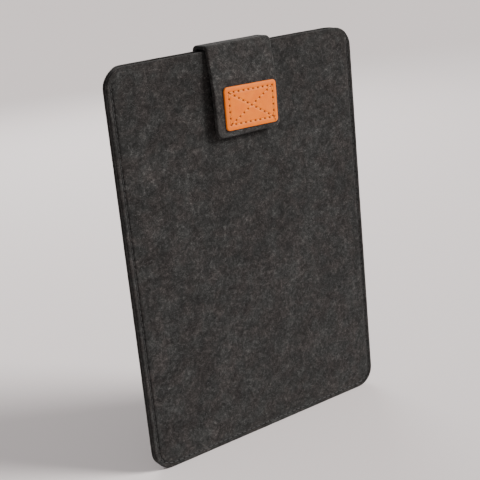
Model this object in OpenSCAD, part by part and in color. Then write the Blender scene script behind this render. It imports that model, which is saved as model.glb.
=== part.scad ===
/* [Sleeve] */
// Width of the sewn sleeve
sleeve_w = 200; // [190:1:240]
// Height of the sewn sleeve
sleeve_h = 277; // [265:1:320]
// Radius of the sleeve's four corners
corner_r = 14; // [10:1:18]
// Thickness of the felt
felt_t = 3; // [2.5:0.5:4]

/* [Pocket] */
// Depth of the pocket: how far the back panel is eased away from the flat front
back_rise = 5.7; // [4.5:0.1:7]
// Distance from the sleeve's edge to where the back panel's outside starts to rise
outer_rise_start = 4.8; // [4.4:0.1:6]
// Distance from the sleeve's edge to where the pocket starts inside
inner_rise_start = 5.4; // [5:0.1:7]
// Width of the band in which the back panel rises and the pocket opens
rise_run = 14; // [12:1:20]

/* [Edge seam] */
// Distance from the sleeve's edge to the row of stitches
seam_inset = 3.4; // [3:0.1:3.6]
// Distance from the top edge down to the first stitch
seam_top_gap = 10; // [6:1:16]
// Width of the groove that the stitches pull into the felt
groove_w = 1.6; // [1:0.1:2]
// Depth of that groove
groove_d = 0.5; // [0.2:0.1:0.8]

/* [Strap] */
// Width of the felt strap
strap_w = 52.5; // [40:0.5:70]
// Sideways position of the strap's middle
strap_x = 0.8; // [-20:0.1:20]
// Height of the flap's lower end above the sleeve's base
flap_end_z = 219; // [205:1:225]
// Height of the lower end of the strap's sewn part on the back
anchor_end_z = 228; // [215:1:232]
// Radius of the strap's end corners
strap_corner_r = 5; // [2:0.5:10]
// Clearance between the strap's bridge and the sleeve's top edge
bridge_gap = 0.4; // [0.3:0.1:1]
// Clearance between the flap's top and the front panel
flap_top_gap = 0.3; // [0.3:0.1:1]
// Height over which the flap eases out from the mouth to clear the fastener
flap_ease_run = 25; // [15:1:25]
// Inside radius of the strap's two bends
bend_r = 1.4; // [1:0.1:1.5]

/* [Patch and fastener] */
// Width of the leather patch
patch_w = 43; // [35:0.5:46]
// Height of the leather patch
patch_h = 29; // [26:0.5:32]
// Thickness of the leather
patch_t = 1.4; // [1:0.1:2]
// Radius of the patch's corners
patch_corner_r = 2.8; // [1:0.1:5]
// Sideways position of the patch's middle
patch_x = 3.1; // [0:0.1:3.5]
// Height of the patch's lower edge above the sleeve's base
patch_z = 223; // [222:0.5:226]
// How far the hand-sewn patch is turned, in degrees clockwise
patch_turn = 1.2; // [0:0.1:2]
// Thickness of each half of the hook-and-loop fastener
fastener_t = 1.4; // [1:0.1:1.6]
// Gap between the two halves when the flap is closed
fastener_gap = 0.3; // [0.3:0.05:0.5]
// Width of the hook half under the flap
hook_w = 40; // [38:0.5:42]
// Height of the hook half under the flap
hook_h = 25; // [24:0.5:26]
// Width of the loop half on the front panel
loop_w = 42; // [40:0.5:46]
// Height of the loop half on the front panel
loop_h = 27; // [26:0.5:30]

/* [Thread] */
// Thickness of the sewing thread
thread_d = 0.5; // [0.4:0.1:0.6]
// Length from one needle hole to the next
stitch_pitch = 4.2; // [3.8:0.1:5]
// Bare gap between two stitches
stitch_gap = 1.2; // [1.1:0.1:1.3]

/* [Hidden] */

$fn = 64;
cut = 1;                       // overrun of every cutting shape
curve_steps = 5;               // flat facets in each rising band
rim_chamfer = 1.2;             // softened outer edge along the mouth
thread_sink = 0.05;            // how far inner thread lies below a soft face
patch_thread_sink = 0.2;       // how far the outer thread bites into leather
felt_color = "#3c3a38";
strap_color = "#454240";
thread_color = "#1b1b1c";
leather_color = "#dc8f58";
patch_thread_color = "#e39a5e";
hook_color = "#161617";

// Outer faces of the two panels over the pocket
front_y = -felt_t;
back_y = felt_t + back_rise;

// The flap lies outside the closed fastener, and close to the front panel at the mouth
flap_in_y = front_y - 2 * fastener_t - fastener_gap;
flap_out_y = flap_in_y - felt_t;
flap_ease = front_y - flap_top_gap - flap_in_y;
bend_out_r = bend_r + felt_t;
bend_z = sleeve_h + bridge_gap - bend_r;
rear_bend_y = back_y - bend_r;
front_bend_y = flap_in_y + flap_ease + bend_r;
half_cut = 2;                  // degrees left bare each side of a fold line
fold_angle = 45;               // place of the fold line on each bend

// Fastener and patch share a middle
patch_mid = [patch_x, patch_z + patch_h / 2];
hook_in_y = front_y - fastener_t - fastener_gap;
seam_top_z = sleeve_h - seam_top_gap;
stitch_len = stitch_pitch - stitch_gap;

// Box of stitches that holds the patch
patch_box = [36, 21.5];
patch_rows = [9, 5, 10];
// Box of stitches that holds the loop half
loop_box = [38, 23];
loop_rows = [9, 5, 0];
// Box of stitches that holds the strap to the back panel
anchor_box = [42, 29];
anchor_rows = [10, 7, 12];
anchor_mid = [strap_x, anchor_end_z + 5 + anchor_box.y / 2];
diagonal_clear = 1.3;          // bare length at each end of a diagonal row

// Smooth step from 0 to 1
function ease(t) = t * t * (3 - 2 * t);

// Points of a band that rises from start over run, as [place, height]
function rising(start, run, base, rise) =
    [for (i = [0:curve_steps])
        let (t = i / curve_steps) [start + run * t, base + rise * ease(t)]];

// The same band seen from the other side
function falling(start, run, base, rise) =
    [for (i = [curve_steps:-1:0])
        let (t = i / curve_steps) [start - run * t, base + rise * ease(t)]];

// Flat outline with rounded corners, from its lower left corner
module rounded_outline(w, h, r) {
    translate([r, 0]) square([w - 2 * r, h]);
    translate([0, r]) square([w, h - 2 * r]);
    for (x = [r, w - r], z = [r, h - r]) translate([x, z]) circle(r);
}

// Turns a flat [x, z] drawing into a plate between two Y planes
module plate(y_low, y_high) {
    translate([0, y_high, 0]) rotate([90, 0, 0]) linear_extrude(y_high - y_low) children();
}

// Turns a flat [z, y] drawing into a bar along X
module bar(length) {
    rotate([0, -90, 0]) linear_extrude(length, center = true) children();
}

// The sleeve's outline, drawn in by inset all round
module sleeve_outline(inset) {
    translate([-sleeve_w / 2 + inset, inset])
        rounded_outline(sleeve_w - 2 * inset, sleeve_h - 2 * inset, corner_r - inset);
}

// Solid between the seam plane and the outside of the back panel
module back_outside() {
    side = sleeve_w / 2 - outer_rise_start;
    linear_extrude(sleeve_h) polygon(concat(
        [[-sleeve_w, 0], [-sleeve_w, felt_t]],
        rising(-side, rise_run, felt_t, back_rise),
        falling(side, rise_run, felt_t, back_rise),
        [[sleeve_w, felt_t], [sleeve_w, 0]]));
}

// Solid seen along the height, with its outside's points given and its mouth edge softened
module softened_mouth(outside, top) {
    bar(sleeve_w) polygon(concat(
        [[-cut, 0], [-cut, felt_t]],
        outside,
        [[sleeve_h - rim_chamfer, top], [sleeve_h + cut, top - rim_chamfer - cut],
         [sleeve_h + cut, 0]]));
}

// The pocket, behind the seam plane
module pocket() {
    side = sleeve_w / 2 - inner_rise_start;
    intersection() {
        linear_extrude(sleeve_h + cut) polygon(concat(
            [[-side, -cut]],
            rising(-side, rise_run, 0, back_rise),
            falling(side, rise_run, 0, back_rise),
            [[side, -cut]]));
        bar(sleeve_w) polygon(concat(
            [[inner_rise_start, -cut]],
            rising(inner_rise_start, rise_run, 0, back_rise),
            [[sleeve_h + 2 * cut, back_rise], [sleeve_h + 2 * cut, -cut]]));
    }
}

// Groove that the edge seam pulls into the outside of a panel
module seam_groove() {
    plate(felt_t - groove_d, felt_t + cut) intersection() {
        difference() {
            sleeve_outline(seam_inset - groove_w / 2);
            sleeve_outline(seam_inset + groove_w / 2);
        }
        translate([-sleeve_w / 2, 0]) square([sleeve_w, seam_top_z]);
    }
}

// One closed loop of thread along X, through everything between two Y planes
module stitch(y_low, y_high) {
    difference() {
        translate([-stitch_len / 2, y_low, -thread_d / 2])
            cube([stitch_len, y_high - y_low, thread_d]);
        translate([-stitch_len / 2 + thread_d, y_low + thread_d, -thread_d])
            cube([stitch_len - 2 * thread_d, y_high - y_low - 2 * thread_d, 2 * thread_d]);
    }
}

// A straight row of stitches between two [x, z] points
module stitch_row(from, to, count, y_low, y_high) {
    step = (to - from) / count;
    for (i = [0:count - 1]) {
        at = from + step * (i + 0.5);
        translate([at.x, 0, at.y]) rotate([0, -atan2(step.y, step.x), 0]) stitch(y_low, y_high);
    }
}

// A box of stitches with its two diagonals, rows = [across, down, diagonal]
module stitch_box(mid, size, rows, y_low, y_high) {
    corner = size / 2;
    lift = [corner.x, -corner.y];
    for (side = [-1, 1]) {
        stitch_row(mid + [-corner.x, side * corner.y], mid + [corner.x, side * corner.y],
                   rows[0], y_low, y_high);
        stitch_row(mid + [side * corner.x, -corner.y], mid + [side * corner.x, corner.y],
                   rows[1], y_low, y_high);
    }
    if (rows[2] > 0) for (way = [corner, lift]) {
        clear = way / norm(way) * (norm(way) - diagonal_clear);
        stitch_row(mid - clear, mid + clear, rows[2], y_low, y_high);
    }
}

// The edge seam: down the left side, round the bottom and up the right side
module seam_stitches(y_low, y_high) {
    r = corner_r - seam_inset;
    side = sleeve_w / 2 - seam_inset;
    straight = seam_top_z - corner_r;
    side_count = round(straight / stitch_pitch);
    bottom_count = round((2 * side - 2 * r) / stitch_pitch);
    turn_count = round(r * PI / 2 / stitch_pitch);
    for (way = [-1, 1]) {
        stitch_row([way * side, seam_top_z], [way * side, corner_r], side_count, y_low, y_high);
        for (i = [0:turn_count - 1]) {
            a = 90 * (i + 0.5) / turn_count;
            translate([way * (side - r + r * cos(a)), 0, corner_r - r * sin(a)])
                rotate([0, way * (a + 90), 0]) stitch(y_low, y_high);
        }
    }
    stitch_row([-side + r, seam_inset], [side - r, seam_inset], bottom_count, y_low, y_high);
}

// Part of a bend of the strap, in [z, y], from angle a to angle b off the +Y side
module bend_sector(mid_y, a, b) {
    reach = 2 * bend_out_r;
    translate([bend_z, mid_y]) intersection() {
        difference() {
            circle(bend_out_r);
            circle(bend_r);
        }
        polygon([[0, 0], reach * [sin(a), cos(a)], reach * [sin(b), cos(b)]]);
    }
}

// A straight end of the strap, below top_z, with rounded lower corners
module strap_leg(end_z, top_z, y_low, y_high) {
    plate(y_low, y_high) translate([strap_x - strap_w / 2, end_z]) difference() {
        rounded_outline(strap_w, top_z - end_z + strap_corner_r, strap_corner_r);
        translate([-cut, top_z - end_z]) square([strap_w + 2 * cut, strap_corner_r + cut]);
    }
}

// Points of one face of the flap, upwards or downwards, from the fastener to the bend
function eased_face(y, order) =
    [for (i = order) let (t = i / curve_steps)
        [bend_z - flap_ease_run * (1 - t), y + flap_ease * ease(t)]];

// The flat front panel, with its seam face on Y = 0
module front_panel() {
    color(felt_color) mirror([0, 1, 0]) difference() {
        intersection() {
            plate(0, felt_t) sleeve_outline(0);
            softened_mouth([], felt_t);
        }
        seam_groove();
    }
}

// The back panel, eased away from the front over the pocket
module back_panel() {
    color(felt_color) difference() {
        intersection() {
            plate(0, back_y) sleeve_outline(0);
            back_outside();
            softened_mouth(rising(outer_rise_start, rise_run, felt_t, back_rise), back_y);
        }
        pocket();
        seam_groove();
    }
}

module edge_seam_thread() {
    depth = felt_t - groove_d + thread_d - 0.1;
    color(thread_color) seam_stitches(-depth, depth);
}

module loop_pad() {
    color(hook_color) plate(front_y - fastener_t, front_y)
        translate(patch_mid - [loop_w, loop_h] / 2) square([loop_w, loop_h]);
}

module loop_pad_thread() {
    color(thread_color) stitch_box(patch_mid, loop_box, loop_rows,
        front_y - fastener_t + thread_sink, -thread_sink);
}

// The strap's sewn end on the back panel, up to the rear fold line
module strap_anchor() {
    color(strap_color) {
        strap_leg(anchor_end_z, bend_z, back_y, back_y + felt_t);
        translate([strap_x, 0, 0]) bar(strap_w)
            bend_sector(rear_bend_y, 0, fold_angle - half_cut);
    }
}

module anchor_thread() {
    color(thread_color) stitch_box(anchor_mid, anchor_box, anchor_rows,
        back_rise + thread_sink, back_y + felt_t + thread_d / 2);
}

// The strap's bridge over the mouth, between the two fold lines
module strap_fold() {
    color(strap_color) translate([strap_x, 0, 0]) bar(strap_w) {
        bend_sector(rear_bend_y, fold_angle + half_cut, 90);
        translate([bend_z + bend_r, front_bend_y]) square([felt_t, rear_bend_y - front_bend_y]);
        bend_sector(front_bend_y, 90, 90 + fold_angle - half_cut);
    }
}

// The strap's flap in front, below the front fold line
module strap_flap() {
    color(strap_color) {
        strap_leg(flap_end_z, bend_z - flap_ease_run, flap_out_y, flap_in_y);
        translate([strap_x, 0, 0]) bar(strap_w) {
            polygon(concat(eased_face(flap_out_y, [0:curve_steps]),
                           eased_face(flap_in_y, [curve_steps:-1:0])));
            bend_sector(front_bend_y, 90 + fold_angle + half_cut, 180);
        }
    }
}

module hook_pad() {
    color(hook_color) plate(flap_in_y, hook_in_y)
        translate(patch_mid - [hook_w, hook_h] / 2) square([hook_w, hook_h]);
}

// Turns what is drawn round the origin, and moves it to the patch's middle
module at_patch() {
    translate([patch_mid.x, 0, patch_mid.y]) rotate([0, patch_turn, 0]) children();
}

module leather_patch() {
    color(leather_color) at_patch() plate(flap_out_y - patch_t, flap_out_y)
        translate([-patch_w, -patch_h] / 2) rounded_outline(patch_w, patch_h, patch_corner_r);
}

module patch_thread() {
    color(patch_thread_color) at_patch() stitch_box([0, 0], patch_box, patch_rows,
        flap_out_y - patch_t - thread_d + patch_thread_sink, hook_in_y - thread_sink);
}

front_panel();
back_panel();
edge_seam_thread();
loop_pad();
loop_pad_thread();
strap_anchor();
anchor_thread();
strap_fold();
strap_flap();
hook_pad();
leather_patch();
patch_thread();
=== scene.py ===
"""The looks of a felt tablet sleeve.

Two sewn felt panels, a strap that folds over the mouth, and a leather patch on the strap's flap. Every
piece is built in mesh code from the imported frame's boxes. Lengths are in millimetres until a mesh is made.
"""

import math
import random

import bmesh
import bpy
import numpy as np
from mathutils import Matrix, Vector, noise


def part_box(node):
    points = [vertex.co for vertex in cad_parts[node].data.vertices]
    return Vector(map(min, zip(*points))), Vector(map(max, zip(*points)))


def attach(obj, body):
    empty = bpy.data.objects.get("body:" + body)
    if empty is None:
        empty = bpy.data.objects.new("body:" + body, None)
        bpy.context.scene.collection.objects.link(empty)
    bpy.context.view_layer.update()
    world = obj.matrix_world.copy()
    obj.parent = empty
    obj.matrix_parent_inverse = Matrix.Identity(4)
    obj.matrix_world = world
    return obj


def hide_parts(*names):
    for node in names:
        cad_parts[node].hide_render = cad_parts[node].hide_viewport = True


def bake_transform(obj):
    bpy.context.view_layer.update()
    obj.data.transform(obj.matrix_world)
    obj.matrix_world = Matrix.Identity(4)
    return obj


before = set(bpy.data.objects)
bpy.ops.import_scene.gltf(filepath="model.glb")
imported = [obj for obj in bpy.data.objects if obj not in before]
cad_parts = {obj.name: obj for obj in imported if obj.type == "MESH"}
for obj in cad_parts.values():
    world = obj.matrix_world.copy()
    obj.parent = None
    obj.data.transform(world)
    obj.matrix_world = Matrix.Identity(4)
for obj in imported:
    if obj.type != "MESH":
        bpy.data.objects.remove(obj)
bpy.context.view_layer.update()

MM = 0.001  # metres in a millimetre
random.seed(7)


# ---------------------------------------------------------------- the frame's sizes, in millimetres

def box_mm(node):
    """Lowest and highest corner of a CAD node, in millimetres."""
    low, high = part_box(node)
    return [v / MM for v in low], [v / MM for v in high]


front_low, front_high = box_mm("front_panel")
back_high = box_mm("back_panel")[1]
flap_low, flap_high = box_mm("strap_flap")
fold_high = box_mm("strap_fold")[1]
anchor_low, anchor_high = box_mm("strap_anchor")
patch_low, patch_high = box_mm("leather_patch")
hook_low, hook_high = box_mm("hook_pad")
loop_low, loop_high = box_mm("loop_pad")
loop_sewn_low, loop_sewn_high = box_mm("loop_pad_thread")
anchor_sewn_low, anchor_sewn_high = box_mm("anchor_thread")

SLEEVE_W = front_high[0] - front_low[0]
SLEEVE_H = front_high[2]
CORNER_R = 14.0  # the panels' rounded corners
FELT = -front_low[1]  # thickness of every layer of felt
BACK_RISE = back_high[1] - FELT  # how far the back panel is eased away over the pocket
THREAD = 0.5  # width of the CAD's thread

SEAM_INSET = 3.4  # from the outline to the edge seam
SEAM_TOP = SLEEVE_H - 10.0  # the edge seam's upper ends
STITCH = 4.2  # length of one stitch of the edge seam

STRAP_W = flap_high[0] - flap_low[0]
STRAP_X = (flap_high[0] + flap_low[0]) / 2
STRAP_R = 5.0  # the strap's rounded corners
STRAP_CLEAR = 0.3  # between the front panel and the top of the flap
BEND_IN = 1.4  # inner radius of the strap's two bends
BEND_MID = BEND_IN + FELT / 2
STRAP_TOP = fold_high[2]
BEND_Z = STRAP_TOP - FELT - BEND_IN
FLAP_MID_Y = flap_low[1] + FELT / 2
FLAP_TOP_Y = front_low[1] - STRAP_CLEAR - FELT / 2
FLAP_EASE_RUN = 25.0  # below the bend, the flap eases out over this length to clear the pads
ANCHOR_MID_Y = anchor_high[1] - FELT / 2
REAR_BEND_Y = ANCHOR_MID_Y - BEND_MID
FRONT_BEND_Y = front_low[1] - STRAP_CLEAR + BEND_IN
FLAP_END = flap_low[2]
ANCHOR_END = anchor_low[2]

PATCH_W, PATCH_H = 43.0, 29.0
PATCH_TURN = math.radians(1.2)  # clockwise, seen from the front
PATCH_T = patch_high[1] - patch_low[1]
PATCH_MID = ((patch_high[0] + patch_low[0]) / 2, (patch_high[2] + patch_low[2]) / 2)


# ---------------------------------------------------------------- camera, first

def aim(obj, place, heading, pitch, roll):
    """Sets obj looking heading degrees from +Y towards +X, pitch degrees up, rolled clockwise."""
    h, p = math.radians(heading), math.radians(pitch)
    forward = Vector((math.sin(h) * math.cos(p), math.cos(h) * math.cos(p), math.sin(p)))
    turn = (-forward).to_track_quat("Z", "Y").to_matrix()
    turn = turn @ Matrix.Rotation(math.radians(-roll), 3, "Z")
    obj.matrix_world = Matrix.Translation(place) @ turn.to_4x4()


camera_data = bpy.data.cameras.new("camera")
camera = bpy.data.objects.new("camera", camera_data)
bpy.context.collection.objects.link(camera)
bpy.context.scene.camera = camera
camera_data.sensor_width = 36.0
camera_data.lens = 80.25
camera_data.clip_start = 0.05
CAMERA_PLACE = Vector((-0.412, -0.5844, 0.3599))
aim(camera, CAMERA_PLACE, heading=34.5, pitch=-16.9, roll=5.8)


# ---------------------------------------------------------------- meshes

def link_mesh(name, points_mm, faces, material, body, values=None):
    """A smooth mesh object from points in millimetres, with its faces turned outwards."""
    mesh = bpy.data.meshes.new(name)
    mesh.from_pydata([tuple(p) for p in np.asarray(points_mm, float) * MM], [], faces)
    for key, numbers in (values or {}).items():
        mesh.attributes.new(key, "FLOAT", "POINT").data.foreach_set("value", numbers.astype(np.float32))
    tidy = bmesh.new()
    tidy.from_mesh(mesh)
    bmesh.ops.remove_doubles(tidy, verts=tidy.verts, dist=1e-7)
    bmesh.ops.recalc_face_normals(tidy, faces=tidy.faces)
    for face in tidy.faces:
        face.smooth = True
    tidy.to_mesh(mesh)
    tidy.free()
    obj = bpy.data.objects.new(name, mesh)
    bpy.context.collection.objects.link(obj)
    mesh.materials.append(material)
    if body:
        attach(obj, body)
    return obj


def ease(t):
    """A smooth step from 0 to 1 as t goes from 0 to 1."""
    t = np.clip(t, 0, 1)
    return t * t * (3 - 2 * t)


def waves(u, v, length, seed):
    """Smooth noise between -1 and 1 over points u, v, with that typical length between humps."""
    return np.array([noise.noise(Vector((a / length, b / length, seed))) for a, b in zip(u, v)])


def even(start, stop, step):
    """Evenly spaced values from start to stop, about step apart."""
    return np.linspace(start, stop, max(2, round(abs(stop - start) / step) + 1))


CORNER_STEPS = 10  # steps round a plate's rounded corner
RIM_ANGLES = [math.radians(x) for x in (0, 22.5, 45, 67.5, 90)]
WANDER_LENGTH = 6.0  # typical length of the small wanderings of a cut outline
WANDER_REACH = 3  # how far in from the outline they reach


def outline_stations(columns, rows):
    """Places (i, j) round a grid with the outward angle in degrees at each, fanned out at the corners."""
    sides = [
        ([(i, 0) for i in range(columns)], -90),
        ([(columns - 1, j) for j in range(rows)], 0),
        ([(i, rows - 1) for i in reversed(range(columns))], 90),
        ([(0, j) for j in reversed(range(rows))], 180),
    ]
    stations = []
    for cells, angle in sides:
        stations += [(i, j, angle) for i, j in cells]
        i, j = cells[-1]
        stations += [(i, j, angle + 90 * k / CORNER_STEPS) for k in range(1, CORNER_STEPS)]
    return stations


def grid_faces(start, columns, rows):
    """Faces of a grid whose points are numbered row by row from start."""
    return [
        (start + j * columns + i, start + j * columns + i + 1,
         start + (j + 1) * columns + i + 1, start + (j + 1) * columns + i)
        for j in range(rows - 1) for i in range(columns - 1)
    ]


def band_faces(ids, others):
    """Faces between two closed rings of point numbers. A doubled corner makes a triangle."""
    faces = []
    for a in range(len(ids)):
        b = (a + 1) % len(ids)
        corners = [ids[a], ids[b], others[b], others[a]]
        kept = [c for k, c in enumerate(corners) if c != corners[k - 1]]
        if len(kept) > 2:
            faces.append(tuple(kept))
    return faces


def plate(across, along, radius, insets, top, bottom, top_round, bottom_round, wander=0.0):
    """A closed plate with rounded corners and rounded rims, as points (u, v, n) and faces.

    across and along are the grid lines of the rectangle between the corner centres. insets are the
    rings outside it, from the inside out. top and bottom give the two skins' heights at u, v. The
    outline wanders inwards by up to twice wander.
    """
    points = []
    columns, rows = len(across), len(along)
    u, v = (lines.ravel() for lines in np.meshgrid(across, along))
    stations = outline_stations(columns, rows)
    grid = np.array([j * columns + i for i, j, _ in stations])
    base_u, base_v = u[grid], v[grid]
    turn = np.radians([a for _, _, a in stations])
    out_u, out_v = np.cos(turn), np.sin(turn)
    shift = wander * (waves(base_u + 40 * out_u, base_v + 40 * out_v, WANDER_LENGTH, 3.3) - 1)

    def add(pu, pv, pn):
        start = sum(len(p) for p in points)
        points.append(np.stack([pu, pv, pn], axis=1))
        return start

    def ring(inset, skin, lift=0.0):
        reach = radius - inset + shift * max(0.0, 1 - inset / WANDER_REACH)
        pu, pv = base_u + out_u * reach, base_v + out_v * reach
        return add(pu, pv, skin(pu, pv) + lift) + np.arange(len(stations))

    top_start = add(u, v, top(u, v))
    rings = [top_start + grid]
    rings += [ring(inset, top) for inset in insets]
    rings += [ring(top_round * (1 - math.sin(a)), top, -top_round * (1 - math.cos(a))) for a in RIM_ANGLES]
    rings += [ring(bottom_round * (1 - math.sin(a)), bottom, bottom_round * (1 - math.cos(a)))
              for a in reversed(RIM_ANGLES)]
    rings += [ring(inset, bottom) for inset in reversed(insets)]
    bottom_start = add(u, v, bottom(u, v))
    rings.append(bottom_start + grid)
    faces = grid_faces(top_start, columns, rows) + grid_faces(bottom_start, columns, rows)
    for one, other in zip(rings, rings[1:]):
        faces += band_faces(one, other)
    return np.concatenate(points), faces


# ---------------------------------------------------------------- rows of stitches

DIAGONAL_BARE = 1.3  # left free at each end of a diagonal row
CORNER_STITCHES = 4  # stitches of the edge seam round one corner


def box_rows(low, high, across, down, diagonal):
    """Rows (start, end, count) of a box of stitches between two [x, z] corners, with its diagonals."""
    x0, z0, x1, z1 = low[0], low[1], high[0], high[1]
    rows = [((x0, z), (x1, z), across) for z in (z0, z1)]
    rows += [((x, z0), (x, z1), down) for x in (x0, x1)]
    if diagonal:
        part = DIAGONAL_BARE / math.hypot(x1 - x0, z1 - z0)
        dx, dz = (x1 - x0) * part, (z1 - z0) * part
        rows.append(((x0 + dx, z0 + dz), (x1 - dx, z1 - dz), diagonal))
        rows.append(((x0 + dx, z1 - dz), (x1 - dx, z0 + dz), diagonal))
    return [(np.array(a, float), np.array(b, float), n) for a, b, n in rows]


def edge_rows():
    """The edge seam: down the left side, round the bottom and up the right side."""
    side, r = SLEEVE_W / 2 - SEAM_INSET, CORNER_R - SEAM_INSET
    turn = [math.radians(180 + 90 * k / CORNER_STITCHES) for k in range(CORNER_STITCHES + 1)]
    left = [(-side, SEAM_TOP), (-side, CORNER_R)]
    left += [(-side + r + r * math.cos(a), CORNER_R + r * math.sin(a)) for a in turn[1:]]
    counts = [round((SEAM_TOP - CORNER_R) / STITCH)] + [1] * CORNER_STITCHES
    rows = [(a, b, n) for a, b, n in zip(left, left[1:], counts)]
    rows += [((-a[0], a[1]), (-b[0], b[1]), n) for a, b, n in rows]
    rows.append(((-side + r, SEAM_INSET), (side - r, SEAM_INSET), round(2 * (side - r) / STITCH)))
    return [(np.array(a, float), np.array(b, float), n) for a, b, n in rows]


def dents(x, z, rows, depth, width, hole_depth, hole_width):
    """How deep rows of stitches pull a face in at x, z: a groove, and a hole at each needle's place."""
    deep = np.zeros_like(x)
    for a, b, n in rows:
        run = b - a
        t = np.clip(((x - a[0]) * run[0] + (z - a[1]) * run[1]) / (run @ run), 0, 1)
        off2 = (x - a[0] - t * run[0]) ** 2 + (z - a[1] - t * run[1]) ** 2
        to_hole = (t - np.round(t * n) / n) * math.hypot(*run)
        groove = depth * np.exp(-off2 / width ** 2)
        hole = hole_depth * np.exp(-(off2 + to_hole ** 2) / hole_width ** 2)
        deep = np.maximum(deep, groove + hole)
    return deep


def rod_faces(first, rings, sides):
    """Faces of a rod of rings of points, numbered ring by ring from first, closed at both ends."""
    faces = []
    for s in range(rings - 1):
        for k in range(sides):
            k2 = (k + 1) % sides
            faces.append((first + s * sides + k, first + s * sides + k2,
                          first + (s + 1) * sides + k2, first + (s + 1) * sides + k))
    faces.append(tuple(first + k for k in range(sides)))
    faces.append(tuple(first + (rings - 1) * sides + k for k in range(sides)))
    return faces


THREAD_R = 0.27  # mean radius of the drawn thread
STITCH_SHIFT = 0.06  # how far a stitch may lie off its place
STITCH_LEAN = 0.05  # how far it may be turned, as a slope
END_PINCH = 0.3  # share of its thickness that a stitch loses at its ends
PLY_RIDGE = 0.16  # height of the two plies, as a share of the radius
PLY_TWIST = 5.0  # radians that the plies turn over half a stitch


def stitch_points(middle, heading, half, place, arch, dive, sides, steps):
    """Points of one stitch, ring by ring. It stands arch high and dives in at both ends."""
    across = np.array([-heading[1], heading[0]])
    points = []
    for s in range(steps):
        t = 2 * s / (steps - 1) - 1
        flat = middle + heading * half * math.copysign(abs(t) ** 0.85, t)
        lift = arch * (1 - t * t) - dive * abs(t) ** 7
        pinch = 1 - END_PINCH * abs(t) ** 5
        for k in range(sides):
            phi = 2 * math.pi * k / sides
            ply = 1 + PLY_RIDGE * math.cos(2 * phi - PLY_TWIST * t)
            r = THREAD_R * pinch * ply
            spot = flat + across * r * math.cos(phi)
            points.append(place(spot[0], spot[1], lift + r * math.sin(phi)))
    return points


def stitches(name, rows, place, material, body, gap=0.5, arch=0.12, dive=0.55, sides=8, steps=9):
    """Short arched lengths of two-ply thread along rows. place(x, z, lift) gives a point in space."""
    points, faces = [], []
    for a, b, n in rows:
        run = (b - a) / n
        pitch = math.hypot(*run)
        way = run / pitch
        half = (pitch - gap) / 2
        for i in range(n):
            off = np.array([random.uniform(-STITCH_SHIFT, STITCH_SHIFT) for _ in range(2)])
            lean = random.uniform(-STITCH_LEAN, STITCH_LEAN)
            heading = np.array([way[0] - lean * way[1], way[1] + lean * way[0]])
            faces += rod_faces(len(points), steps, sides)
            middle = a + run * (i + 0.5) + off
            points += stitch_points(middle, heading, half, place, arch, dive, sides, steps)
    return link_mesh(name, points, faces, material, body)


def tube_points(path, radius, sides):
    """Points of a thin round rod along a path, ring by ring."""
    path = np.asarray(path, float)
    points = []
    for spot, way in zip(path, np.gradient(path, axis=0)):
        way = Vector(way).normalized()
        if points:
            one = (one - way * one.dot(way)).normalized()
        else:
            one = way.orthogonal().normalized()
        two = way.cross(one)
        for k in range(sides):
            a = 2 * math.pi * k / sides
            points.append(Vector(spot) + radius * (math.cos(a) * one + math.sin(a) * two))
    return points


def tubes(name, paths, radius, material, body, sides=5):
    """Many thin rods as one mesh."""
    points, faces = [], []
    for path in paths:
        faces += rod_faces(len(points), len(path), sides)
        points += tube_points(path, radius, sides)
    return link_mesh(name, points, faces, material, body)


# ---------------------------------------------------------------- materials

class Nodes:
    """A short way to build one procedural material."""

    def __init__(self, name):
        self.material = bpy.data.materials.new(name)
        self.material.use_nodes = True
        self.tree = self.material.node_tree
        self.shader = self.tree.nodes["Principled BSDF"]

    def add(self, kind, inputs=None, **settings):
        """A new node with its inputs fed and its settings set."""
        node = self.tree.nodes.new(kind)
        for key, value in settings.items():
            setattr(node, key, value)
        for key, value in (inputs or {}).items():
            self.feed(node.inputs[key], value)
        return node

    def feed(self, socket, value):
        """Links an output to the socket, or sets it to a plain value."""
        if isinstance(value, bpy.types.NodeSocket):
            self.tree.links.new(value, socket)
        else:
            socket.default_value = value

    def maths(self, operation, a, b):
        return self.add("ShaderNodeMath", {0: a, 1: b}, operation=operation).outputs[0]

    def vector(self, operation, a, b=(0, 0, 0), scale=None):
        node = self.add("ShaderNodeVectorMath", {0: a, 1: b}, operation=operation)
        if scale is not None:
            node.inputs["Scale"].default_value = scale
        return node.outputs[0]

    def noise(self, place, scale, detail=2.0, rough=0.5):
        inputs = {"Vector": place, "Scale": scale, "Detail": detail, "Roughness": rough}
        return self.add("ShaderNodeTexNoise", inputs)

    def ramp(self, value, low, high, out_low=0.0, out_high=1.0):
        node = self.add("ShaderNodeMapRange", {0: value, 1: low, 2: high, 3: out_low, 4: out_high},
                        interpolation_type="SMOOTHSTEP")
        return node.outputs[0]

    def mix(self, share, a, b):
        node = self.add("ShaderNodeMix", data_type="RGBA")
        self.feed(node.inputs[0], share)
        self.feed(node.inputs[6], a)
        self.feed(node.inputs[7], b)
        return node.outputs[2]

    def place_mm(self, offset=(0, 0, 0)):
        """The point in millimetres, shifted so that each material has its own pattern."""
        at = self.add("ShaderNodeTexCoord").outputs["Object"]
        return self.vector("ADD", self.vector("SCALE", at, scale=1 / MM), offset)

    def bump(self, height, strength, distance_mm):
        inputs = {"Strength": strength, "Distance": distance_mm * MM, "Height": height}
        node = self.add("ShaderNodeBump", inputs)
        self.feed(self.shader.inputs["Normal"], node.outputs[0])


def grey(value):
    """A linear grey."""
    return (value, value, value, 1.0)


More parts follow.
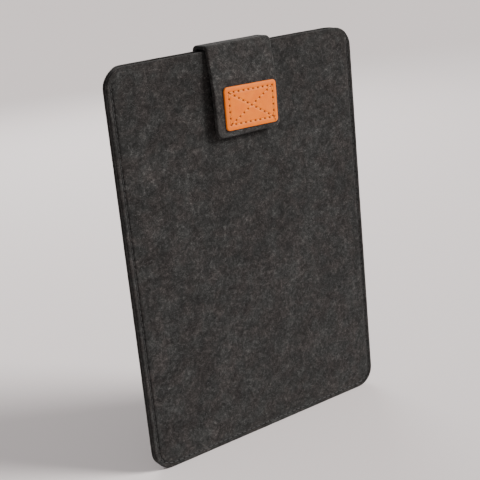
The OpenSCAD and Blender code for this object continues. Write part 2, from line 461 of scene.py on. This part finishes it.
def strands(n, at, turn, size, thick, offset):
    """Short curled lines, 1 along a fibre and 0 between fibres."""
    seat = n.vector("ADD", at, (17.0 * offset, 5.0 + 3.0 * offset, 9.0 * offset))
    bent = n.vector("SUBTRACT", n.noise(seat, 0.3, 2.0).outputs[1], (0.5, 0.5, 0.5))
    moved = n.vector("ADD", seat, n.vector("SCALE", bent, scale=7.0))
    mapping = {"Vector": moved, "Rotation": (0.5 * offset, turn, 0.3), "Scale": (0.5, 1.0, 1.5)}
    turned = n.add("ShaderNodeMapping", mapping).outputs[0]
    cells = n.add("ShaderNodeTexVoronoi", {"Vector": turned, "Scale": size}, feature="DISTANCE_TO_EDGE")
    line = n.ramp(cells.outputs["Distance"], 0.0, thick, 1.0, 0.0)
    broken = n.ramp(n.noise(n.vector("ADD", seat, (3.0, 31.0, 7.0)), 0.36, 1.0).outputs[0], 0.47, 0.6)
    return n.maths("MULTIPLY", line, broken)


WARM_WOOL = (1.09, 0.99, 0.95, 1.0)
COOL_WOOL = (1.0, 1.01, 0.985, 1.0)
TONE_BASE = 2.5  # a step of 1 in the pattern makes the wool this many times lighter


def felt_material(name, level, offset):
    """Needled charcoal felt: mottled dark wool with short pale and dark curled fibres."""
    n = Nodes(name)
    at = n.place_mm(offset)
    warp = n.vector("SUBTRACT", n.noise(at, 0.16, 2.0).outputs[1], (0.5, 0.5, 0.5))
    swirl = n.vector("ADD", at, n.vector("SCALE", warp, scale=9.0))
    cloud = n.maths("SUBTRACT", n.noise(swirl, 0.05, 2.0, 0.8).outputs[0], 0.5)
    wool = n.maths("SUBTRACT", n.noise(swirl, 0.17, 4.0, 0.95).outputs[0], 0.5)
    grit = n.maths("SUBTRACT", n.noise(at, 1.5, 2.0, 0.8).outputs[0], 0.5)
    pale = n.maths("MAXIMUM", strands(n, at, 0.4, 0.36, 0.07, 0), strands(n, at, 1.5, 0.44, 0.08, 1))
    pale = n.maths("MAXIMUM", pale, strands(n, at, 2.6, 0.3, 0.06, 2))
    dark = n.maths("MAXIMUM", strands(n, at, 0.9, 0.4, 0.1, 3), strands(n, at, 2.1, 0.33, 0.09, 4))
    tone = n.maths("ADD", n.maths("MULTIPLY", cloud, 1.25), n.maths("MULTIPLY", wool, 4.2))
    tone = n.maths("ADD", tone, n.maths("MULTIPLY", grit, 1.2))
    tone = n.maths("ADD", tone, n.maths("MULTIPLY", pale, 1.05))
    tone = n.maths("SUBTRACT", tone, n.maths("MULTIPLY", dark, 0.2))
    tone = n.maths("MULTIPLY", n.maths("POWER", TONE_BASE, tone), level)
    tint = n.mix(n.ramp(n.noise(at, 0.09, 2.0).outputs[0], 0.35, 0.65), WARM_WOOL, COOL_WOOL)
    colour = n.add("ShaderNodeVectorMath", {0: tint, "Scale": tone}, operation="SCALE")
    n.feed(n.shader.inputs["Base Color"], colour.outputs[0])
    n.shader.inputs["Roughness"].default_value = 0.95
    n.shader.inputs["Specular IOR Level"].default_value = 0.1
    n.shader.inputs["Sheen Weight"].default_value = 0.12
    n.shader.inputs["Sheen Roughness"].default_value = 0.5
    n.shader.inputs["Sheen Tint"].default_value = grey(0.5)
    height = n.maths("ADD", n.maths("MULTIPLY", pale, 0.35), n.maths("MULTIPLY", wool, 1.6))
    height = n.maths("ADD", height, n.maths("MULTIPLY", grit, 0.8))
    n.bump(height, 0.5, 0.4)
    return n.material


LEATHER_DEEP = (0.68, 0.138, 0.001, 1.0)
LEATHER_LIGHT = (0.74, 0.168, 0.003, 1.0)
LEATHER_PORE = (0.45, 0.10, 0.012, 1.0)
# colour of the painted shade in the needle holes
LEATHER_HOLE_SHADE = (0.22, 0.045, 0.006, 1.0)


def leather_material():
    """Smooth tan leather with a fine grain, and painted shade in its needle holes and stitch grooves, taken
    from a value on the mesh.
    """
    n = Nodes("tan_leather")
    at = n.place_mm((11.0, 3.0, 5.0))
    cloudy = n.ramp(n.noise(at, 0.12, 3.0, 0.6).outputs[0], 0.3, 0.7)
    base = n.mix(cloudy, LEATHER_DEEP, LEATHER_LIGHT)
    pores = n.add("ShaderNodeTexVoronoi", {"Vector": at, "Scale": 1.9}, feature="DISTANCE_TO_EDGE")
    grain = n.ramp(pores.outputs["Distance"], 0.0, 0.12)
    fine = n.noise(at, 5.0, 3.0, 0.6).outputs[0]
    base = n.mix(n.maths("MULTIPLY", n.maths("SUBTRACT", 1.0, grain), 0.12), base, LEATHER_PORE)
    # painted shade: the leather is darkened where the holes and stitch grooves lie deep, as shade falling in
    # these recesses
    painted_hole_shade = n.add("ShaderNodeAttribute", attribute_name="painted_hole_shade").outputs["Fac"]
    base = n.mix(n.ramp(painted_hole_shade, 0.12, 0.6, 0.0, 0.92), base, LEATHER_HOLE_SHADE)
    n.feed(n.shader.inputs["Base Color"], base)
    n.feed(n.shader.inputs["Roughness"], n.ramp(fine, 0.3, 0.7, 0.42, 0.56))
    n.shader.inputs["Specular IOR Level"].default_value = 0.18
    height = n.maths("ADD", n.maths("MULTIPLY", grain, 0.6), n.maths("MULTIPLY", fine, 0.6))
    n.bump(height, 0.18, 0.12)
    return n.material


def thread_material(name, colour, dark, shine):
    """Twisted sewing thread: fine slanting plies."""
    n = Nodes(name)
    at = n.place_mm()
    ply = n.add("ShaderNodeTexWave", {"Vector": at, "Scale": 1.6, "Distortion": 1.5, "Detail": 1.0},
                wave_type="BANDS", bands_direction="DIAGONAL")
    fuzz = n.noise(at, 4.0, 2.0, 0.6).outputs[0]
    share = n.maths("MULTIPLY", n.maths("ADD", ply.outputs["Fac"], fuzz), 0.5)
    n.feed(n.shader.inputs["Base Color"], n.mix(n.ramp(share, 0.25, 0.75), dark, colour))
    n.shader.inputs["Roughness"].default_value = 0.6
    n.shader.inputs["Sheen Weight"].default_value = shine
    n.bump(share, 0.4, 0.1)
    return n.material


def tape_material(name, level):
    """Black woven tape under hooks or loops."""
    n = Nodes(name)
    at = n.place_mm()
    one = n.add("ShaderNodeTexWave", {"Vector": at, "Scale": 0.55}, wave_type="BANDS", bands_direction="X")
    two = n.add("ShaderNodeTexWave", {"Vector": at, "Scale": 0.55}, wave_type="BANDS", bands_direction="Z")
    weave = n.maths("MULTIPLY", one.outputs["Fac"], two.outputs["Fac"])
    n.feed(n.shader.inputs["Base Color"], n.mix(weave, grey(0.6 * level), grey(1.5 * level)))
    n.shader.inputs["Roughness"].default_value = 0.7
    n.bump(weave, 0.5, 0.15)
    return n.material


def pile_material(name, level, rough):
    """Black nylon hooks or loops, a little uneven in tone."""
    n = Nodes(name)
    patchy = n.ramp(n.noise(n.place_mm(), 0.8, 2.0).outputs[0], 0.3, 0.7)
    n.feed(n.shader.inputs["Base Color"], n.mix(patchy, grey(0.6 * level), grey(1.6 * level)))
    n.shader.inputs["Roughness"].default_value = rough
    return n.material


def fibre_material():
    """Single pale wool fibres, each a different grey."""
    n = Nodes("pale_fibre")
    tone = n.ramp(n.noise(n.place_mm(), 0.25, 2.0, 0.7).outputs[0], 0.3, 0.7)
    n.feed(n.shader.inputs["Base Color"], n.mix(tone, grey(0.03), grey(0.15)))
    n.shader.inputs["Roughness"].default_value = 0.9
    n.shader.inputs["Specular IOR Level"].default_value = 0.1
    return n.material


PANEL_TONE, STRAP_TONE = 0.0158, 0.0203  # the strap's felt is a little lighter
TAN = (0.95, 0.36, 0.03, 1.0)
TAN_DARK = (0.62, 0.16, 0.01, 1.0)

panel_felt = felt_material("charcoal_felt", PANEL_TONE, (0.0, 0.0, 0.0))
rear_felt = felt_material("charcoal_felt_rear", PANEL_TONE, (310.0, 40.0, 90.0))
strap_felt = felt_material("charcoal_felt_strap", STRAP_TONE, (90.0, 170.0, 20.0))
leather = leather_material()
dark_thread = thread_material("dark_thread", grey(0.022), grey(0.008), 0.1)
tan_thread = thread_material("tan_thread", TAN, TAN_DARK, 0.05)
hook_tape = tape_material("hook_tape", 0.02)
loop_tape = tape_material("loop_tape", 0.016)
fibre = fibre_material()
hook_pile = pile_material("hook_pile", 0.02, 0.35)
loop_pile = pile_material("loop_pile", 0.02, 0.6)


# ---------------------------------------------------------------- the two sewn panels

EDGE_ROWS = edge_rows()
POCKET_CORNER = 30.0  # radius of the pocket's lower corners, at the panel's outline
POCKET_RUN = 14.0  # the pocket opens to its full depth over this width
OUTER_FROM, INNER_FROM = 4.8, 5.4  # where it starts to open in the two skins, from the outline
RIM_CALM = 0.12  # share of the ripples left at a sewn rim
CALM_FROM, CALM_RUN = 4, 22  # the ripples grow to their full height from there, over that width
MOUTH_LOOSE = 14  # the mouth isn't sewn, so its rim counts as that much further off
LONG_RIPPLE, LONG_HEIGHT = 60, 0.3
SHORT_RIPPLE, SHORT_HEIGHT = 21, 0.12
RIPPLE_SINK = 0.12  # keeps the ripples' tops near the CAD's face
SEAM_SINK = 0.62  # the thread's middle below the felt's face
PANEL_GRID = 1.5
PANEL_INSETS = [12.6, 11.2, 9.9, 8.7, 7.6, 6.7, 6.0, 5.4, 4.9, 4.5, 4.1, 3.75, 3.4, 3.05, 2.7, 2.3, 1.9, 1.5]


def pocket_depth(u, v, start):
    """How far the pocket is open at u, v: 0 along the seam, 1 over its full depth."""
    side, low = SLEEVE_W / 2 - np.abs(u), v
    inside = np.minimum(side, low)
    near = (side < POCKET_CORNER) & (low < POCKET_CORNER)
    bent = POCKET_CORNER - np.hypot(POCKET_CORNER - side, POCKET_CORNER - low)
    return ease((np.where(near, bent, inside) - start) / POCKET_RUN)


def panel_skins(rise, seed):
    """The outer and inner skin of a panel, as heights off the seam plane."""
    def ripple(u, v):
        edge = np.minimum(SLEEVE_W / 2 - np.abs(u), np.minimum(v, SLEEVE_H - v + MOUTH_LOOSE))
        calm = RIM_CALM + (1 - RIM_CALM) * ease((edge - CALM_FROM) / CALM_RUN)
        high = LONG_HEIGHT * waves(u, v, LONG_RIPPLE, seed)
        return calm * (high + SHORT_HEIGHT * waves(u, v, SHORT_RIPPLE, seed + 5) - RIPPLE_SINK)

    def outer(u, v):
        height = FELT + rise * pocket_depth(u, v, OUTER_FROM)
        groove = dents(u, v, EDGE_ROWS, depth=0.8, width=0.95, hole_depth=0.5, hole_width=0.8)
        return height + ripple(u, v) - groove

    def inner(u, v):
        opened = pocket_depth(u, v, INNER_FROM)
        return 0.02 + rise * opened + ripple(u, v) * opened * min(rise, 1)

    return outer, inner


def build_panel(name, rise, seed, facing, material):
    """One felt panel, facing -Y or +Y, and its outer skin."""
    side, top = SLEEVE_W / 2 - CORNER_R, SLEEVE_H - CORNER_R
    outer, inner = panel_skins(rise, seed)
    points, faces = plate(
        even(-side, side, PANEL_GRID), even(CORNER_R, top, PANEL_GRID), CORNER_R, PANEL_INSETS,
        outer, inner, top_round=1.05, bottom_round=0.8, wander=0.1)
    placed = np.stack([points[:, 0], facing * points[:, 2], points[:, 1]], axis=1)
    obj = link_mesh(name, placed, faces, material, "sleeve")
    return obj, outer


front, front_skin = build_panel("front_felt", 0.0, 0.7, -1, panel_felt)
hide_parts("front_panel")
back, back_skin = build_panel("back_felt", BACK_RISE, 4.1, 1, rear_felt)
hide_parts("back_panel")


def on_margin(facing):
    """A function that lays thread in the groove of a panel's margin."""
    def place(x, z, lift):
        return (x, facing * (FELT + lift - SEAM_SINK), z)
    return place


front_seam = stitches("edge_stitches_front", EDGE_ROWS, on_margin(-1), dark_thread, "sleeve")
back_seam = stitches("edge_stitches_back", EDGE_ROWS, on_margin(1), dark_thread, "sleeve")
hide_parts("edge_seam_thread")
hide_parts("edge_seam_thread")


# ---------------------------------------------------------------- the strap

BEND_POINTS = 25
FLAP_POINTS = 160
STRAP_RIPPLE = 24  # typical length of the strap's ripples
STRAP_STEP, BEND_STEP, STRAP_GRID = 1.2, 0.55, 1.1  # the grid along the strap, round its bends, and across
STRAP_INSETS = [4.0, 3.1, 2.3, 1.6]
BEND_MARGIN = 3  # the finer grid reaches this far beyond the bends


def arc(mid_y, start, stop):
    """Middle-line points (y, z) round a bend, between two angles off the +Y side."""
    angles = np.radians(np.linspace(start, stop, BEND_POINTS))
    return np.stack([mid_y + BEND_MID * np.cos(angles), BEND_Z + BEND_MID * np.sin(angles)], axis=1)


def strap_path():
    """The strap's middle line (y, z), from its sewn end over the mouth to the flap's end."""
    z = np.linspace(BEND_Z, FLAP_END, FLAP_POINTS)[1:]
    y = FLAP_MID_Y + (FLAP_TOP_Y - FLAP_MID_Y) * ease(1 - (BEND_Z - z) / FLAP_EASE_RUN)
    return np.concatenate([
        [(ANCHOR_MID_Y, ANCHOR_END)], arc(REAR_BEND_Y, 0, 90),
        arc(FRONT_BEND_Y, 90, 180), np.stack([y, z], axis=1)])


STRAP_PATH = strap_path()
STRAP_STEPS = np.hypot(*np.diff(STRAP_PATH, axis=0).T)
STRAP_REACH = np.concatenate([[0], np.cumsum(STRAP_STEPS)])
STRAP_LENGTH = STRAP_REACH[-1]
STRAP_BACK_LEG = BEND_Z - ANCHOR_END
STRAP_ARC = BEND_MID * math.pi / 2
STRAP_BRIDGE = REAR_BEND_Y - FRONT_BEND_Y
STRAP_BENDS_END = STRAP_BACK_LEG + 2 * STRAP_ARC + STRAP_BRIDGE
STRAP_NORMALS = np.gradient(STRAP_PATH, STRAP_REACH, axis=0)[:, ::-1] * (1, -1)


def strap_point(s, out):
    """(y, z) at s along the strap's middle line from its sewn end, moved out from the loop."""
    y, z = (np.interp(s, STRAP_REACH, STRAP_PATH[:, k]) for k in (0, 1))
    ny, nz = (np.interp(s, STRAP_REACH, STRAP_NORMALS[:, k]) for k in (0, 1))
    size = math.hypot(ny, nz)
    return y + out * ny / size, z + out * nz / size


ANCHOR_ROWS = box_rows(
    (anchor_sewn_low[0] + THREAD / 2, anchor_sewn_low[2] + THREAD / 2),
    (anchor_sewn_high[0] - THREAD / 2, anchor_sewn_high[2] - THREAD / 2), across=10, down=7, diagonal=12)


def strap_lines():
    """Grid lines along the strap, closer together round its two bends."""
    marks = [STRAP_R, STRAP_BACK_LEG - BEND_MARGIN, STRAP_BENDS_END + BEND_MARGIN, STRAP_LENGTH - STRAP_R]
    steps = [STRAP_STEP, BEND_STEP, STRAP_STEP]
    lines = [even(a, b, step) for a, b, step in zip(marks, marks[1:], steps)]
    return np.concatenate([lines[0], lines[1][1:], lines[2][1:]])


def strap_outer(u, s):
    """The strap's outer face off its middle line, drawn in by the stitches at its sewn end."""
    height = FELT / 2 + 0.16 * waves(u, s, STRAP_RIPPLE, 8.0)
    return height - dents(u + STRAP_X, ANCHOR_END + s, ANCHOR_ROWS,
                          depth=0.55, width=0.8, hole_depth=0.35, hole_width=0.7)


def strap_inner(u, s):
    """The strap's inner face off its middle line."""
    return np.full_like(u, -FELT / 2) + 0.1 * waves(u, s, STRAP_RIPPLE, 9.0)


def build_strap():
    """Points and faces of the whole strap, bent over the mouth."""
    half = STRAP_W / 2 - STRAP_R
    points, faces = plate(
        even(-half, half, STRAP_GRID), strap_lines(), STRAP_R, STRAP_INSETS,
        strap_outer, strap_inner, top_round=1.25, bottom_round=0.9, wander=0.1)
    placed = []
    for u, s, n in points:
        y, z = strap_point(s, n)
        placed.append((STRAP_X + u, y, z))
    return placed, faces


def half_strap(name, points, faces, keep):
    """The part of the strap on one side of the bridge's middle, closed at the cut."""
    middle = (REAR_BEND_Y + FRONT_BEND_Y) / 2 * MM
    obj = link_mesh(name, points, faces, strap_felt, None)
    part = bmesh.new()
    part.from_mesh(obj.data)
    everything = part.verts[:] + part.edges[:] + part.faces[:]
    cut = bmesh.ops.bisect_plane(part, geom=everything, plane_co=(0, middle, 0), plane_no=(0, keep, 0),
                                 clear_inner=True)
    rim = [e for e in cut["geom_cut"] if isinstance(e, bmesh.types.BMEdge)]
    filled = bmesh.ops.edgeloop_fill(part, edges=rim)["faces"]
    for face in filled:
        face.smooth = False
    for edge in rim:
        edge.smooth = False
    bmesh.ops.recalc_face_normals(part, faces=part.faces)
    part.to_mesh(obj.data)
    part.free()
    return obj


strap_points, strap_faces = build_strap()
strap_rear = half_strap("strap_rear", strap_points, strap_faces, 1)
strap_front = half_strap("strap_front", strap_points, strap_faces, -1)
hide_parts("strap_anchor", "strap_fold")
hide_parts("strap_flap", "strap_fold")


# ---------------------------------------------------------------- patch, pads and their thread

PATCH_SEAM_X, PATCH_SEAM_Z = 18.0, 10.75  # half the sewn box's width and height
PATCH_ROWS = box_rows((-PATCH_SEAM_X, -PATCH_SEAM_Z), (PATCH_SEAM_X, PATCH_SEAM_Z),
                      across=9, down=5, diagonal=10)
PATCH_R = 2.8
PATCH_GRID = 0.36
PATCH_INSETS = [2.45, 2.1, 1.75, 1.4, 1.05]
LEATHER_BACK = 0.2  # the painted hole shade isn't put on the leather's back, below this height
RIM_LOW = 0.3  # the leather is this much thinner at its rim, before it swells
THREAD_SINK = 0.28  # the patch's stitches lie this far below the leather's top
ANCHOR_SINK = 0.45  # and the strap's stitches this far below its felt's face


def at_patch(u, v, out):
    """A point of the patch, u to the right and v up from its middle, out from the strap's face."""
    c, t = math.cos(PATCH_TURN), math.sin(PATCH_TURN)
    return PATCH_MID[0] + c * u + t * v, flap_low[1] - out, PATCH_MID[1] - t * u + c * v


def patch_top(u, v):
    """Height of the leather: swollen inside its rim and inside its seam, and drawn in by the stitches."""
    v = v - PATCH_H / 2
    edge = np.minimum(PATCH_W / 2 - np.abs(u), PATCH_H / 2 - np.abs(v))
    puff = 0.22 * ease(edge / 2.2) + 0.18 * ease((edge - 4.5) / 6)
    uneven = 0.05 * waves(u, v, 9, 2.0)
    groove = dents(u, v, PATCH_ROWS, depth=0.3, width=0.6, hole_depth=0.75, hole_width=0.58)
    return PATCH_T - RIM_LOW + puff + uneven - groove


def build_patch():
    """The leather patch, with how deep its pricked holes and stitch grooves lie kept on the mesh for its
    material's painted shade.
    """
    half, r = PATCH_W / 2, PATCH_R
    points, faces = plate(
        even(-half + r, half - r, PATCH_GRID), even(r, PATCH_H - r, PATCH_GRID), r, PATCH_INSETS,
        patch_top, lambda u, v: np.zeros_like(u), top_round=0.62, bottom_round=0.15, wander=0.05)
    u, v, out = points[:, 0], points[:, 1] - PATCH_H / 2, points[:, 2]
    x, y, z = at_patch(u, v, out)
    # depth of the holes and grooves, which the leather's material turns into painted shade
    painted_hole_shade = dents(u, v, PATCH_ROWS, depth=0.14, width=0.6, hole_depth=0.85, hole_width=0.62)
    painted_hole_shade = painted_hole_shade * (out > LEATHER_BACK)
    return link_mesh("leather_patch_front", np.stack([x, y, z], axis=1), faces, leather, "flap",
                     {"painted_hole_shade": painted_hole_shade})


patch = build_patch()
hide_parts("leather_patch")
patch_stitches = stitches(
    "patch_stitches", PATCH_ROWS,
    lambda u, v, lift: at_patch(u, v, PATCH_T + lift - THREAD_SINK), tan_thread,
    "flap", gap=1.15, arch=0.06, dive=0.5, sides=10, steps=11)
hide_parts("patch_thread")

anchor_stitches = stitches(
    "strap_stitches", ANCHOR_ROWS,
    lambda x, z, lift: (x, anchor_high[1] + lift - ANCHOR_SINK, z), dark_thread,
    "sleeve")
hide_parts("anchor_thread")


PAD_R = 1.2
PAD_GRID = 1.0
LOOP_BASE, HOOK_BASE = 0.45, 0.4  # thickness of the two woven tapes
LOOP_THREAD_SINK = 0.05  # the loop pad's stitches lie this far into the tape
HOOK_THREAD_LIFT = 0.05  # the hook pad's stitches stand this far out of it


def pad(name, low, high, base, facing, material, body):
    """The woven tape that carries hooks or loops, base millimetres thick, and its face's y."""
    width, height, r = high[0] - low[0], high[2] - low[2], PAD_R
    points, faces = plate(
        even(-width / 2 + r, width / 2 - r, PAD_GRID), even(r, height - r, PAD_GRID), r, [0.8, 0.5],
        lambda u, v: base + 0.03 * waves(u, v, 5, 1.0), lambda u, v: np.zeros_like(u),
        top_round=0.2, bottom_round=0.05)
    foot = high[1] if facing < 0 else low[1]
    placed = np.stack([points[:, 0] + (low[0] + high[0]) / 2, foot + facing * points[:, 2],
                       points[:, 1] + low[2]], axis=1)
    return link_mesh(name, placed, faces, material, body), foot + facing * base


loop_base, loop_face = pad(
    "loop_tape_base", loop_low, loop_high, LOOP_BASE, -1, loop_tape, "sleeve")
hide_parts("loop_pad")
hook_base, hook_face = pad(
    "hook_tape_base", hook_low, hook_high, HOOK_BASE, 1, hook_tape, "flap")
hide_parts("hook_pad")

LOOP_ROWS = box_rows(
    (loop_sewn_low[0] + THREAD / 2, loop_sewn_low[2] + THREAD / 2),
    (loop_sewn_high[0] - THREAD / 2, loop_sewn_high[2] - THREAD / 2), across=9, down=5, diagonal=0)
loop_stitches = stitches(
    "loop_pad_stitches", LOOP_ROWS, lambda x, z, lift: (x, loop_face - lift + LOOP_THREAD_SINK, z),
    dark_thread, "sleeve", arch=0.08, dive=0.4)
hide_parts("loop_pad_thread")

hook_stitches = stitches(
    "hook_pad_stitches", PATCH_ROWS,
    lambda u, v, lift: at_patch(u, v, flap_low[1] - hook_face - lift - HOOK_THREAD_LIFT), tan_thread,
    "flap", arch=0.08, dive=0.3)
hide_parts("patch_thread")


PILE_MARGIN = 0.9  # bare border of a pad
PILE_BARE = 0.6  # bare strip on either side of a row of stitches
PILE_SHIFT = 0.2  # how far a hook or loop may stand off its place, as a share of the step


def pile_places(low, high, step, rows):
    """Places (x, z) of hooks or loops on a pad, a little uneven, with none on the rows of stitches."""
    xs = even(low[0] + PILE_MARGIN, high[0] - PILE_MARGIN, step)
    zs = even(low[2] + PILE_MARGIN, high[2] - PILE_MARGIN, step)
    x, z = (lines.ravel() for lines in np.meshgrid(xs, zs))
    x = x + np.array([random.uniform(-PILE_SHIFT, PILE_SHIFT) for _ in x]) * step
    z = z + np.array([random.uniform(-PILE_SHIFT, PILE_SHIFT) for _ in z]) * step
    near_row = dents(x, z, rows, depth=1.0, width=PILE_BARE, hole_depth=0.0, hole_width=1.0)
    free = near_row < math.exp(-1)
    return list(zip(x[free], z[free]))


def hook_path(x, z, foot, height):
    """A moulded hook that stands on the tape at y = foot and bends over towards +Z or -Z."""
    way = random.choice((-1, 1))
    bend = [(0, -0.1), (0, 0.45), (0.06, 0.72), (0.24, 0.94), (0.44, 0.86), (0.5, 0.62)]
    return [(x, foot + height * up, z + way * out * height) for out, up in bend]


def loop_path(x, z, foot, height):
    """A soft loop of yarn on the tape at y = foot, in any direction."""
    turn, width = random.uniform(0, math.pi), random.uniform(0.3, 0.5)
    tall = height * random.uniform(0.6, 0.94)
    around = [math.radians(a) for a in (-15, 25, 65, 105, 145, 195)]
    return [(x + width * math.cos(a) * math.cos(turn), foot - tall * math.sin(a),
             z + width * math.cos(a) * math.sin(turn)) for a in around]


def in_object(spot):
    """A point of the patch as (x, z) of the object."""
    x, _, z = at_patch(spot[0], spot[1], 0)
    return np.array([x, z])


HOOK_STEP, HOOK_R = 1.2, 0.12
LOOP_STEP, LOOP_R = 1.0, 0.08
hook_rows = [(in_object(a), in_object(b), n) for a, b, n in PATCH_ROWS]
hook_paths = [hook_path(x, z, hook_face, hook_high[1] - hook_face)
              for x, z in pile_places(hook_low, hook_high, HOOK_STEP, hook_rows)]
hooks = tubes("hook_tape_hooks", hook_paths, HOOK_R, hook_pile, "flap")
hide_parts("hook_pad")
loop_paths = [loop_path(x, z, loop_face, loop_face - loop_low[1])
              for x, z in pile_places(loop_low, loop_high, LOOP_STEP, LOOP_ROWS)]
loops = tubes("loop_tape_loops", loop_paths, LOOP_R, loop_pile, "sleeve", sides=4)
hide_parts("loop_pad")

# The cut end of the patch's thread at its lower right corner: u, v and height over its start.
THREAD_TAIL = [
    (17.7, -10.9, 0.0), (18.3, -11.4, 0.32), (19.0, -11.9, 0.42), (19.3, -12.7, 0.34), (19.1, -13.3, 0.3)]
TAIL_SINK = 0.1  # its start lies this far below the top of the leather
tail_path = [at_patch(u, v, PATCH_T + out - TAIL_SINK) for u, v, out in THREAD_TAIL]
thread_end = tubes("patch_thread_end", [tail_path], 0.2, tan_thread, "flap", sides=8)
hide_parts("patch_thread")


# ---------------------------------------------------------------- loose fibres on the felt

FIBRE_R = 0.045
FIBRE_STEPS = 4


def fibre_path(place, u, v, longest):
    """A curled fibre that lies on a face from u, v on. place(u, v, lift) gives a point in space."""
    heading = random.uniform(0, 2 * math.pi)
    curl = random.uniform(-0.5, 0.5)
    step = random.uniform(0.25, 1.0) * longest / FIBRE_STEPS
    path = []
    for k in range(FIBRE_STEPS + 1):
        path.append(place(u, v, 0.14 * math.sin(math.pi * k / FIBRE_STEPS) - 0.03))
        u += step * math.cos(heading)
        v += step * math.sin(heading)
        heading += curl
    return path


def fibres(name, place, low, high, body, count, longest):
    """Loose fibres at random places between two corners (u, v) of a face."""
    spots = [(random.uniform(low[0], high[0]), random.uniform(low[1], high[1])) for _ in range(count)]
    paths = [fibre_path(place, u, v, longest) for u, v in spots]
    return tubes(name, paths, FIBRE_R, fibre, body, sides=3)


def on_panel(skin, facing):
    """A function that puts a point on a panel's outer skin."""
    def place(u, v, lift):
        return u, facing * (float(skin(np.array([u]), np.array([v]))[0]) + lift), v
    return place


def on_side(way, facing):
    """A function that puts a point on a panel's side edge, u deep from the seam plane and v up."""
    def place(u, v, lift):
        return way * (SLEEVE_W / 2 + lift - 0.1), facing * u, v
    return place


def on_flap(u, s, lift):
    """A point on the strap's outer face."""
    y, z = strap_point(s, FELT / 2 + lift)
    return STRAP_X + u, y, z


EDGE_CLEAR = 4.0  # bare margin left by the long fibres, so that none hangs over an edge
PANEL_LOW = (EDGE_CLEAR - SLEEVE_W / 2, EDGE_CLEAR)
PANEL_HIGH = (SLEEVE_W / 2 - EDGE_CLEAR, SLEEVE_H - EDGE_CLEAR)
FLAP_LOW = (EDGE_CLEAR - STRAP_W / 2, STRAP_BENDS_END + EDGE_CLEAR)
FLAP_HIGH = (STRAP_W / 2 - EDGE_CLEAR, STRAP_LENGTH - EDGE_CLEAR)
SIDE_LOW = (0.6, CORNER_R + 2)
SIDE_HIGH = (2.2, SLEEVE_H - CORNER_R - 2)

front_fuzz = fibres("fibres_front", on_panel(front_skin, -1), PANEL_LOW, PANEL_HIGH, "sleeve",
                    count=1300, longest=3.6)
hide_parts("front_panel")
back_fuzz = fibres("fibres_back", on_panel(back_skin, 1), PANEL_LOW, PANEL_HIGH, "sleeve",
                   count=1300, longest=3.6)
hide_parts("back_panel")
for side_name, way in (("left", -1), ("right", 1)):
    for panel_name, facing in (("front", -1), ("back", 1)):
        side_fuzz = fibres("fibres_%s_%s" % (panel_name, side_name), on_side(way, facing),
                           SIDE_LOW, SIDE_HIGH, "sleeve", count=160, longest=1.0)
        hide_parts(panel_name + "_panel")
flap_fuzz = fibres("fibres_flap", on_flap, FLAP_LOW, FLAP_HIGH, "flap", count=110, longest=3.2)
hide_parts("strap_flap")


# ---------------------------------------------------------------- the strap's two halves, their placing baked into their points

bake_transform(strap_rear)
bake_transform(strap_front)


# ---------------------------------------------------------------- floor and light

def stage_floor():
    """A wide pale floor at z = 0."""
    bpy.ops.mesh.primitive_plane_add(size=12, location=(0, 0, 0))
    floor = bpy.context.object
    floor.name = "floor"
    n = Nodes("pale_floor")
    n.shader.inputs["Base Color"].default_value = (0.90, 0.835, 0.83, 1.0)
    n.shader.inputs["Roughness"].default_value = 0.7
    n.shader.inputs["Specular IOR Level"].default_value = 0.2
    floor.data.materials.append(n.material)


def softbox(name, place, target, size, watts, colour):
    """A rectangular light that looks from place to target."""
    data = bpy.data.lights.new(name, "AREA")
    data.shape = "RECTANGLE"
    data.size, data.size_y = size
    data.energy = watts
    data.color = colour
    light = bpy.data.objects.new(name, data)
    bpy.context.collection.objects.link(light)
    light.location = place
    light.rotation_euler = (Vector(target) - Vector(place)).to_track_quat("-Z", "Y").to_euler()


def window_light(side, height, energy, spread, colour):
    """Even light from far away, side degrees to the right of the front and height degrees up."""
    data = bpy.data.lights.new("window", "SUN")
    data.energy = energy
    data.angle = math.radians(spread)
    data.color = colour
    light = bpy.data.objects.new("window", data)
    bpy.context.collection.objects.link(light)
    a, b = math.radians(side), math.radians(height)
    towards = Vector((math.sin(a) * math.cos(b), -math.cos(a) * math.cos(b), math.sin(b)))
    light.rotation_euler = towards.to_track_quat("Z", "Y").to_euler()


def stage_light():
    """A pale room, a wide window to the right of the camera and a weak light from behind."""
    world = bpy.data.worlds.new("pale_room")
    world.use_nodes = True
    world.node_tree.nodes["Background"].inputs[0].default_value = (1.0, 0.965, 0.96, 1.0)
    world.node_tree.nodes["Background"].inputs[1].default_value = 0.36
    bpy.context.scene.world = world
    window_light(side=46, height=27, energy=6.0, spread=22, colour=(1.0, 0.975, 0.95))
    softbox("rim", place=(0.5, 1.2, 0.9), target=(0.0, 0.0, 0.14), size=(0.9, 0.9), watts=9.0,
            colour=(1.0, 1.0, 1.0))


stage_floor()
stage_light()
